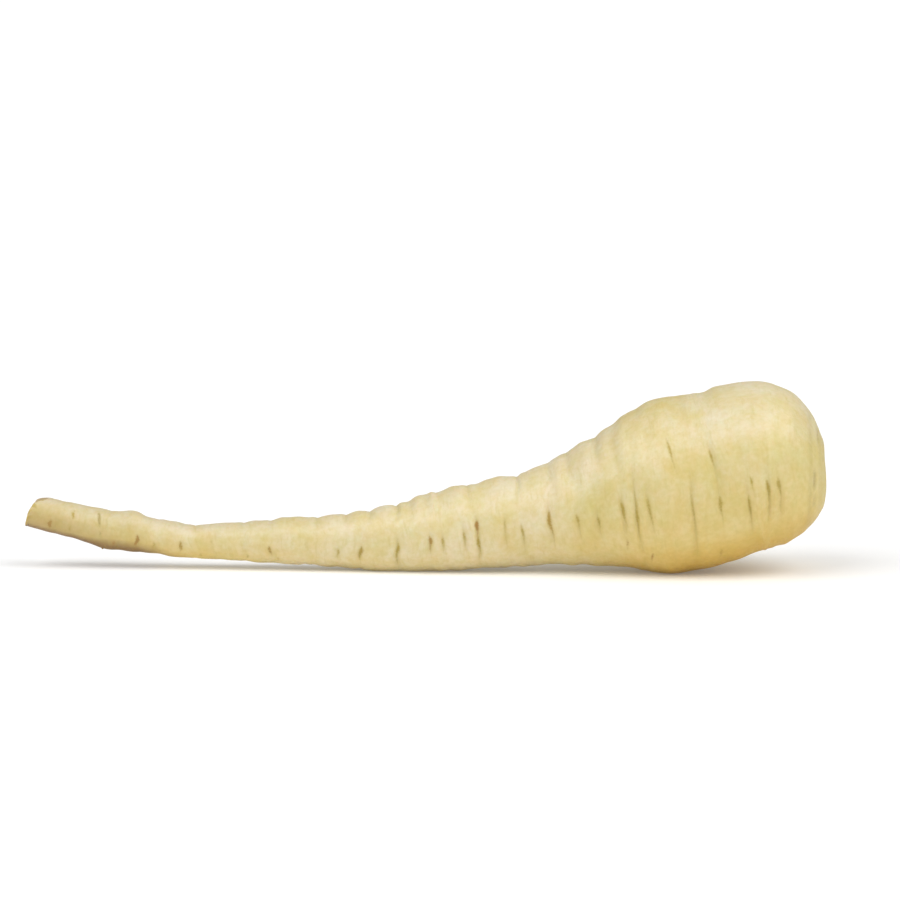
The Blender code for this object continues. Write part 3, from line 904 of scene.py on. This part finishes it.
# The skin's colours and its shine
skinLook = {
    "cream": (0.655, 0.55, 0.262, 1),
    "greenish": (0.61, 0.515, 0.205, 1),
    "blush": (0.66, 0.53, 0.23, 1),
    # painted sheen on the upper side
    "paintedSheen": (0.685, 0.60, 0.38, 1),
    # painted warm shade on the underside
    "paintedUnderShade": (0.66, 0.495, 0.135, 1),
    # painted darker shade along the belly
    "paintedBellyShade": (0.57, 0.36, 0.03, 1),
    "waist": (0.685, 0.60, 0.375, 1),
    # painted light and shade on the top side of the tail half
    "paintedTopLightShade": (0.60, 0.52, 0.32, 1),
    "tail": (0.46, 0.33, 0.105, 1),
    # painted dark shade under the thin tail
    "tailBellyShade": (0.21, 0.105, 0.01, 1),
    # the mottling brightens and dims what is under it
    "patchPale": (1.04, 1.055, 1.24, 1),
    "patchDeep": (0.955, 0.92, 0.73, 1),
    "fleckPale": (1.035, 1.04, 1.12, 1),
    "fleckDeep": (0.96, 0.95, 0.86, 1),
    "rosy": (1.012, 0.982, 0.96, 1),
    "leafy": (0.988, 1.012, 1.0, 1),
    # the skin's own streaks and grain, and painted shade in the creases and round the scars
    "streakTintAndCreaseShade": (0.50, 0.385, 0.085, 1),
    "scarGrey": (0.38, 0.29, 0.09, 1),
    "scarOlive": (0.41, 0.295, 0.04, 1),
    "scarOrange": (0.37, 0.20, 0.03, 1),
    "dish": (0.30, 0.22, 0.10, 1),
    "crownNear": (0.55, 0.47, 0.17, 1),
    "stain": (0.32, 0.235, 0.05, 1),
    "cutStain": (0.42, 0.30, 0.04, 1),
    "flesh": (0.58, 0.44, 0.21, 1),
    "fleshEdge": (0.35, 0.225, 0.075, 1),
    "roughness": (0.37, 0.48),
    "scarRoughness": 0.2,
    "specular": 0.75,
    "subsurface": 0.18,
    "subsurfaceDepth": 0.004,
    "subsurfaceRadius": (1.0, 0.5, 0.2),
    "bump": (0.00016, 0.8),   # distance, strength
    "grainBump": 0.6,
    "streakBump": 0.4,
    # how strongly a tint covers what is under it
    "cover": {
        # painted warm shade below
        "paintedUnderShade": 0.8,
        # painted sheen above
        "paintedSheen": 0.65,
        "waist": 0.6,
        "tail": 0.43,
        "tailUnderShade": 0.55,        # painted shade added on the tail's underside
        # painted shade along the belly
        "paintedBellyShade": 0.95,
        # painted light and shade on the top side of the tail half
        "paintedTopLightShade": 0.8,
        # painted shade in the creases and round the scars
        "paintedCreaseShade": 0.42,
        "crownNear": 0.45,
        "dish": 0.85,
        "scar": 0.95,
        "cutRing": 0.5,
        "cutEdge": 0.85,
    },
    # where a value starts to show and where it is full
    "steps": {
        # where the painted shade under the thin tail takes over from that of the belly
        "tailBellyShade": (0.0, 0.4),
        "scar": (0.03, 0.6),
        "scarOlive": (0.0, 0.5),
        "scarOrange": (0.55, 1.0),
        "cutRingIn": (0.4, 0.52),
        "cutRingOut": (0.52, 0.66),
        "cutEdge": (0.72, 1.0),
    },
    # squeeze along the root, scale, detail and roughness of each noise, then where it starts
    # and is full, and the least and most that it gives
    "noise": {
        "drift": (1.0, 0.3, 2.0, 0.5, 0.35, 0.65, 0.0, 1.0),
        "patches": (1.2, 0.8, 5.0, 0.62, 0.27, 0.73, 0.0, 1.0),
        "blush": (1.7, 1.3, 2.0, 0.5, 0.5, 0.75, 0.0, 0.55),
        "streaks": (5.0, 1.6, 4.0, 0.6, 0.52, 0.7, 0.0, 0.2),
        "tints": (1.0, 1.7, 5.0, 0.65, 0.3, 0.7, 0.0, 1.0),
        "cutStain": (1.0, 4.5, 3.0, 0.6, 0.46, 0.6, 0.0, 0.9),
        "flecks": (1.0, 5.5, 4.0, 0.6, 0.27, 0.73, 0.0, 1.0),
        "dish": (1.0, 9.0, 4.0, 0.65, 0.3, 0.7, 0.0, 1.0),
        "fibre": (0.3, 12.0, 3.0, 0.6, 0.3, 0.7, 0.0, 0.5),
        "leafMark": (1.0, 14.0, 3.0, 0.6, 0.25, 0.7, 0.35, 1.0),
        "grain": (2.4, 16.0, 3.0, 0.6, 0.6, 0.78, 0.0, 0.16),
        "scar": (1.0, 18.0, 3.0, 0.6, 0.3, 0.7, 0.6, 1.25),
    },
}


def skinNoises(finish):
    # each noise as it comes, and with its contrast raised
    space = finish.layer("skinSpace", "Vector")
    plain, shaped = {}, {}
    for name, (squeeze, scale, detail, rough, low, high, least, most) in skinLook["noise"].items():
        vector = space if squeeze == 1 else finish.stretched(space, squeeze)
        plain[name] = finish.noise(vector, scale, detail, rough)
        shaped[name] = finish.spread(plain[name], low, high, (least, most))
    return plain, shaped


def laidOn(finish, colour, name, eased=False):
    # the look's colour of this name, as far as the layer of this name says
    most = skinLook["cover"][name]
    amount = finish.eased(name, most) if eased else finish.share(name, most)
    return finish.blend(amount, colour, skinLook[name])


def placeTints(finish, colour):
    # paler above, browner below and on the tail
    look, cover = skinLook, skinLook["cover"]
    # painted warm shade below
    colour = laidOn(finish, colour, "paintedUnderShade", eased=True)
    # painted sheen above
    colour = laidOn(finish, colour, "paintedSheen", eased=True)
    colour = laidOn(finish, colour, "waist")
    # the tail's own ochre tone, with painted shade added on its underside
    tail = finish.math("ADD", finish.share("paintedUnderShade", cover["tailUnderShade"]), cover["tail"])
    tail = finish.math("MULTIPLY", finish.eased("tailward", 1.0), tail)
    colour = finish.blend(tail, colour, look["tail"])
    # painted darker shade along the belly, darkest under the thin tail
    tail = finish.spread(finish.layer("tailward"), *look["steps"]["tailBellyShade"])
    bellyShade = finish.blend(tail, look["paintedBellyShade"], look["tailBellyShade"])
    colour = finish.blend(finish.share("paintedBellyShade", cover["paintedBellyShade"]), colour, bellyShade)
    # painted light and shade on the top side of the tail half
    return laidOn(finish, colour, "paintedTopLightShade")


def mottleAndCreaseShade(finish, colour, shaped):
    # patches of several sizes, fine streaks round the root, and painted shade in the creases and
    # round the scars
    look = skinLook
    for name, pale, deep in (("tints", "rosy", "leafy"), ("patches", "patchPale", "patchDeep"),
                             ("flecks", "fleckPale", "fleckDeep")):
        tint = finish.blend(shaped[name], look[pale], look[deep])
        colour = finish.blend(1.0, colour, tint, "MULTIPLY")
    # streaks and grain of the skin, then painted shade in the creases and round the scars
    for amount in (shaped["streaks"], shaped["grain"], finish.share("paintedCreaseShade", look["cover"]["paintedCreaseShade"])):
        colour = finish.blend(amount, colour, look["streakTintAndCreaseShade"])
    return colour


def crownShade(finish, colour, shaped):
    # the crown is duller and greener towards the dish, with brown leaf marks
    look = skinLook
    colour = laidOn(finish, colour, "crownNear")
    dish = finish.blend(shaped["dish"], look["dish"], look["crownNear"])
    colour = finish.blend(finish.share("dish", look["cover"]["dish"]), colour, dish)
    stain = finish.math("MULTIPLY", finish.layer("crownStain"), shaped["leafMark"])
    return finish.blend(stain, colour, look["stain"])


def scarShade(finish, colour, shaped):
    look = skinLook
    tone = finish.layer("scarTone")
    olive = finish.spread(tone, *look["steps"]["scarOlive"])
    orange = finish.spread(tone, *look["steps"]["scarOrange"])
    tint = finish.blend(olive, look["scarGrey"], look["scarOlive"])
    tint = finish.blend(orange, tint, look["scarOrange"])
    amount = finish.math("MULTIPLY", finish.layer("scar"), shaped["scar"])
    amount = finish.spread(amount, *look["steps"]["scar"], (0.0, look["cover"]["scar"]))
    return finish.blend(amount, colour, tint)


def cutShade(finish, colour, shaped):
    # the cut end: dull flesh, a darker ring and a brown edge, with a stained skin edge
    look, cover = skinLook, skinLook["cover"]
    stained = finish.math("MULTIPLY", finish.layer("cutStain"), shaped["cutStain"])
    colour = finish.blend(stained, colour, look["cutStain"])
    share = finish.layer("cutShare")
    flesh = finish.blend(shaped["fibre"], look["flesh"], look["fleshEdge"])
    inner = finish.spread(share, *look["steps"]["cutRingIn"])
    outer = finish.spread(share, *look["steps"]["cutRingOut"], (cover["cutRing"], 0.0))
    flesh = finish.blend(finish.math("MULTIPLY", inner, outer), flesh, look["fleshEdge"])
    edge = finish.spread(share, *look["steps"]["cutEdge"], (0.0, cover["cutEdge"]))
    flesh = finish.blend(edge, flesh, look["fleshEdge"])
    return finish.blend(finish.layer("cutEnd"), colour, flesh)


def skinFinish():
    look = skinLook
    finish = Finish("parsnipSkin")
    plain, shaped = skinNoises(finish)
    colour = finish.blend(shaped["drift"], look["cream"], look["greenish"])
    colour = finish.blend(shaped["blush"], colour, look["blush"])
    colour = placeTints(finish, colour)
    colour = mottleAndCreaseShade(finish, colour, shaped)
    colour = crownShade(finish, colour, shaped)
    colour = scarShade(finish, colour, shaped)
    colour = cutShade(finish, colour, shaped)
    finish.set("Base Color", colour)
    rough = finish.spread(plain["streaks"], *noiseRange, look["roughness"])
    rough = finish.math("ADD", rough, finish.share("scar", look["scarRoughness"]))
    finish.set("Roughness", rough)
    finish.set("Specular IOR Level", look["specular"])
    finish.set("Subsurface Weight", look["subsurface"])
    finish.set("Subsurface Radius", look["subsurfaceRadius"])
    finish.set("Subsurface Scale", look["subsurfaceDepth"])
    height = finish.math("MULTIPLY", plain["grain"], look["grainBump"])
    height = finish.math("ADD", height, plain["flecks"])
    streaks = finish.math("MULTIPLY", plain["streaks"], look["streakBump"])
    height = finish.math("ADD", streaks, height)
    finish.bump(height, *look["bump"])
    return finish.material


def addSides(faces, first, rows, sides):
    # faces between rows of points, with a lid on the first row; gives the last row's start
    for row in range(rows - 1):
        for j in range(sides):
            a = first + row * sides + j
            b = first + row * sides + (j + 1) % sides
            faces.append((a, b, b + sides, a + sides))
    faces.append(tuple(first + j for j in reversed(range(sides))))
    return first + (rows - 1) * sides


def addLid(faces, last, sides):
    faces.append(tuple(last + j for j in range(sides)))


def aroundRoot(radius, turn, station):
    # a point of the straight root: up, across and along
    return (radius * math.cos(turn), radius * math.sin(turn), station)


def laidMesh(name, points, faces, shift):
    # a closed mesh from points of the straight root, put where the lying root has them
    up, across, station = np.array(points).T
    placed = (layDown(up, across, station, station) + shift) * mm
    mesh = bpy.data.meshes.new(name)
    mesh.from_pydata(placed.tolist(), [], faces)
    if signedVolume(mesh) < 0:
        mesh.flip_normals()
    mesh.update()
    setLayer(mesh, "skinSpace", np.array(points) / cm)
    return mesh


# Trimmed leaf stalks in the dish
stalks = {
    "foot": 7.0,              # how far below the apex they start, sunk in the dish
    # radius, angle, half-width (deg), thickness, top below the apex, tilt
    "bases": [(5.3, 20, 37, 1.6, 3.5, 0.25), (5.2, 100, 35, 1.5, 3.3, -0.2),
              (5.4, 172, 32, 1.7, 3.7, 0.2), (5.2, 246, 36, 1.6, 3.4, 0.3),
              (5.3, 318, 30, 1.5, 3.8, -0.25), (3.4, 62, 50, 1.2, 3.1, 0.15),
              (3.3, 178, 52, 1.3, 3.4, -0.15), (3.5, 294, 48, 1.2, 3.2, 0.2),
              (1.7, 120, 70, 0.9, 3.3, 0.1), (1.6, 300, 72, 0.9, 3.6, -0.1)],
    # across and up one stalk's section
    "section": [(-0.5, 0.0), (-0.52, 0.35), (-0.5, 0.7), (-0.46, 0.9), (-0.36, 0.985),
                (-0.18, 1.0), (0.0, 0.985), (0.18, 1.0), (0.36, 0.985), (0.46, 0.9), (0.5, 0.7),
                (0.52, 0.35), (0.5, 0.0)],
    "sections": 20,
    "endPower": 0.7,          # the crescent thins out toward its ends
    "endLeast": 0.03,
    "endDrop": 0.25,
    "splay": 0.35,            # how much further out its foot stands
    "cutFrom": 0.93,          # share of the height above which it is cut flesh
    "budRadius": 0.75,
    "budTop": 3.2,
    "budSides": 14,
    "budRows": [(1.0, 0.0), (1.0, 0.5), (0.85, 0.8), (0.5, 0.95)],      # share of the radius, up
    "budLobe": 0.08,
    "budCut": 0.3,
    "side": (0.34, 0.27, 0.11, 1),
    "cut": (0.56, 0.46, 0.21, 1),
    "fibre": (0.27, 0.17, 0.06, 1),
    "roughness": 0.75,
    # scale, detail and roughness of the noises
    "mottle": (22.0, 3.0, 0.6),
    "dots": (34.0, 1.0, 0.4),
    "dotLength": 0.2,
    "dotSteps": (0.52, 0.66),
    "dotCover": 0.8,
    "bump": (0.00015, 0.8),
}


def addStalk(points, faces, topShare, radius, angle, half, thick, top, tilt):
    # a crescent that hugs the middle of the dish, cut off above
    first = len(points)
    count = stalks["sections"]
    for k in range(count + 1):
        u = 2 * k / count - 1
        turn = math.radians(angle + half * u)
        body = math.sqrt(max(1 - u**2, stalks["endLeast"])) ** stalks["endPower"]
        height = stalks["foot"] - top + tilt * u - stalks["endDrop"] * u**2
        for across, up in stalks["section"]:
            out = radius + across * thick * body + stalks["splay"] * (1 - up)
            station = rootForm["apex"] - stalks["foot"] + up * height
            points.append(aroundRoot(out, turn, station))
            topShare.append(max(0.0, (up - stalks["cutFrom"]) / (1 - stalks["cutFrom"])))
    size = len(stalks["section"])
    addLid(faces, addSides(faces, first, count + 1, size), size)


def addBud(points, faces, topShare):
    # small rounded bud in the middle
    sides = stalks["budSides"]
    rows = stalks["budRows"]
    height = stalks["foot"] - stalks["budTop"]
    first = len(points)
    for share, up in rows:
        for j in range(sides):
            turn = 2 * math.pi * j / sides
            out = stalks["budRadius"] * share * (1 + stalks["budLobe"] * math.sin(3 * turn))
            station = rootForm["apex"] - stalks["foot"] + up * height
            points.append(aroundRoot(out, turn, station))
    tip = len(points)
    points.append((0, 0, rootForm["apex"] - stalks["budTop"]))
    topShare += [stalks["budCut"]] * (tip + 1 - first)
    last = addSides(faces, first, len(rows), sides)
    for j in range(sides):
        faces.append((last + j, last + (j + 1) % sides, tip))


def makeStalks(shift):
    points, faces, topShare = [], [], []
    for base in stalks["bases"]:
        addStalk(points, faces, topShare, *base)
    addBud(points, faces, topShare)
    mesh = laidMesh("leafStalks", points, faces, shift)
    setLayer(mesh, "cutTop", np.array(topShare))
    return mesh


def stalkFinish():
    finish = Finish("leafStalk")
    space = finish.layer("skinSpace", "Vector")
    mottled = finish.noise(space, *stalks["mottle"])
    dots = finish.noise(finish.stretched(space, stalks["dotLength"]), *stalks["dots"])
    mottle = finish.spread(mottled, *noiseRange)
    side = finish.blend(mottle, stalks["side"], stalks["fibre"])
    specks = finish.spread(dots, *stalks["dotSteps"], (0.0, stalks["dotCover"]))
    cut = finish.blend(specks, stalks["cut"], stalks["fibre"])
    finish.set("Base Color", finish.blend(finish.layer("cutTop"), side, cut))
    finish.set("Roughness", stalks["roughness"])
    finish.bump(finish.math("ADD", mottled, dots), *stalks["bump"])
    return finish.material


# Rootlet stumps on the nubs of the tail, and a few in scars out of sight
rootlets = {
    # station, angle, length, thickness, lean toward the tail
    "stumps": [(26.4, 168, 0.3, 1.2, 0.2), (114.2, 262, 0.6, 0.5, 0.6),
               (153.6, 292, 0.7, 0.55, 0.5), (70.0, 215, 0.6, 0.5, 0.7),
               (44.2, 300, 0.5, 0.5, -0.3)],
    "sides": 8,
    "rows": 7,
    "sunk": 0.7,
    "taper": 0.75,            # share of the thickness lost at the tip
    "colour": (0.24, 0.13, 0.045, 1),
    "roughness": 0.8,
    "mottle": (30.0, 3.0, 0.6),
    "mottleCover": 0.6,
    "bump": (0.0001, 0.7),
}


def addStump(points, faces, station, angle, length, thick, lean):
    sides, rows, sunk = rootlets["sides"], rootlets["rows"], rootlets["sunk"]
    place, turn = np.array([float(station)]), np.array([float(angle)])
    ground = float(workedRadius(place, turn, bareRadius(place), 1.0, 0.0)[0])
    first = len(points)
    for row in range(rows):
        t = row / (rows - 1)
        out = ground - sunk + (length + sunk) * t
        along = station - lean * length * t**2
        size = thick / 2 * (1 - rootlets["taper"] * t**1.5)
        for j in range(sides):
            spin = 2 * math.pi * j / sides
            swing = math.radians(angle) + size * math.cos(spin) / ground
            points.append(aroundRoot(out, swing, along + size * math.sin(spin)))
    addLid(faces, addSides(faces, first, rows, sides), sides)


def makeRootlets(shift):
    points, faces = [], []
    for stump in rootlets["stumps"]:
        addStump(points, faces, *stump)
    return laidMesh("rootletStumps", points, faces, shift)


def rootletFinish():
    finish = Finish("rootlet")
    mottled = finish.noise(finish.layer("skinSpace", "Vector"), *rootlets["mottle"])
    amount = finish.spread(mottled, *noiseRange, (0.0, rootlets["mottleCover"]))
    finish.set("Base Color", finish.blend(amount, rootlets["colour"], skinLook["scarOrange"]))
    finish.set("Roughness", rootlets["roughness"])
    finish.bump(mottled, *rootlets["bump"])
    return finish.material


# Floor, light and camera
studio = {
    "floorSize": 60.0,
    "floorDrop": 0.00005,
    "floorColour": (0.9, 0.9, 0.9, 1),
    "floorRoughness": 0.6,
    "floorSpecular": 0.2,
    "floorGlow": 0.12,        # the table is lit from inside
    "skyLight": 0.395,        # what the object gets from all round
    "skySeen": 1.05,          # what the camera sees past the floor
    # strength, apparent size in degrees, azimuth, elevation
    "lamps": {"left": (1.38, 50, -50, 45), "right": (1.6, 50, 63, 45), "top": (0.2, 40, 5, 84)},
}


def directionFrom(azimuth, elevation):
    a, e = math.radians(azimuth), math.radians(elevation)
    return Vector((math.sin(a) * math.cos(e), -math.cos(a) * math.cos(e), math.sin(e)))


def makeFloor():
    half = studio["floorSize"] / 2
    mesh = bpy.data.meshes.new("studioFloor")
    mesh.from_pydata([(-half, -half, 0), (half, -half, 0), (half, half, 0), (-half, half, 0)],
                     [], [(0, 1, 2, 3)])
    floor = bpy.data.objects.new("studioFloor", mesh)
    floor.location.z = -studio["floorDrop"]
    bpy.context.scene.collection.objects.link(floor)
    finish = Finish("paleFloor")
    finish.set("Base Color", studio["floorColour"])
    finish.set("Roughness", studio["floorRoughness"])
    finish.set("Specular IOR Level", studio["floorSpecular"])
    finish.set("Emission Color", white)
    finish.set("Emission Strength", studio["floorGlow"])
    mesh.materials.append(finish.material)


def makeLight():
    world = bpy.data.worlds.new("studio")
    bpy.context.scene.world = world
    world.use_nodes = True
    nodes, links = world.node_tree.nodes, world.node_tree.links
    background = nodes["Background"]
    background.inputs["Color"].default_value = white
    path = nodes.new("ShaderNodeLightPath")
    strength = nodes.new("ShaderNodeMapRange")
    strength.inputs["To Min"].default_value = studio["skyLight"]
    strength.inputs["To Max"].default_value = studio["skySeen"]
    links.new(path.outputs["Is Camera Ray"], strength.inputs["Value"])
    links.new(strength.outputs["Result"], background.inputs["Strength"])
    for name, (power, size, azimuth, elevation) in studio["lamps"].items():
        light = bpy.data.lights.new(name, "SUN")
        light.energy = power
        light.angle = math.radians(size)
        lamp = bpy.data.objects.new(name, light)
        lamp.rotation_mode = "QUATERNION"
        lamp.rotation_quaternion = directionFrom(azimuth, elevation).to_track_quat("Z", "Y")
        bpy.context.scene.collection.objects.link(lamp)


view = {
    "azimuth": 1.5,
    "elevation": 7.0,
    "distance": 1.53,
    "lens": 180.0,
    "aim": (0.009, 0.0, 0.041),
}


def makeCamera():
    data = bpy.data.cameras.new("camera")
    data.lens = view["lens"]
    camera = bpy.data.objects.new("camera", data)
    back = directionFrom(view["azimuth"], view["elevation"])
    camera.location = Vector(view["aim"]) + back * view["distance"]
    camera.rotation_mode = "QUATERNION"
    camera.rotation_quaternion = back.to_track_quat("Z", "Y")
    bpy.context.scene.collection.objects.link(camera)
    bpy.context.scene.camera = camera
    bpy.context.scene.view_settings.view_transform = "Standard"


makeCamera()
makeFloor()
makeLight()
print("camera, floor and light made")

rootMesh, rootShift = makeRoot()
root = addPiece("rootSkin", rootMesh, skinFinish())
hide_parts("parsnip_root")
print("root skin made")

addPiece("leafStalks", makeStalks(rootShift), stalkFinish())
print("trimmed leaf stalks made")

addPiece("rootletStumps", makeRootlets(rootShift), rootletFinish())
print("rootlet stumps made")
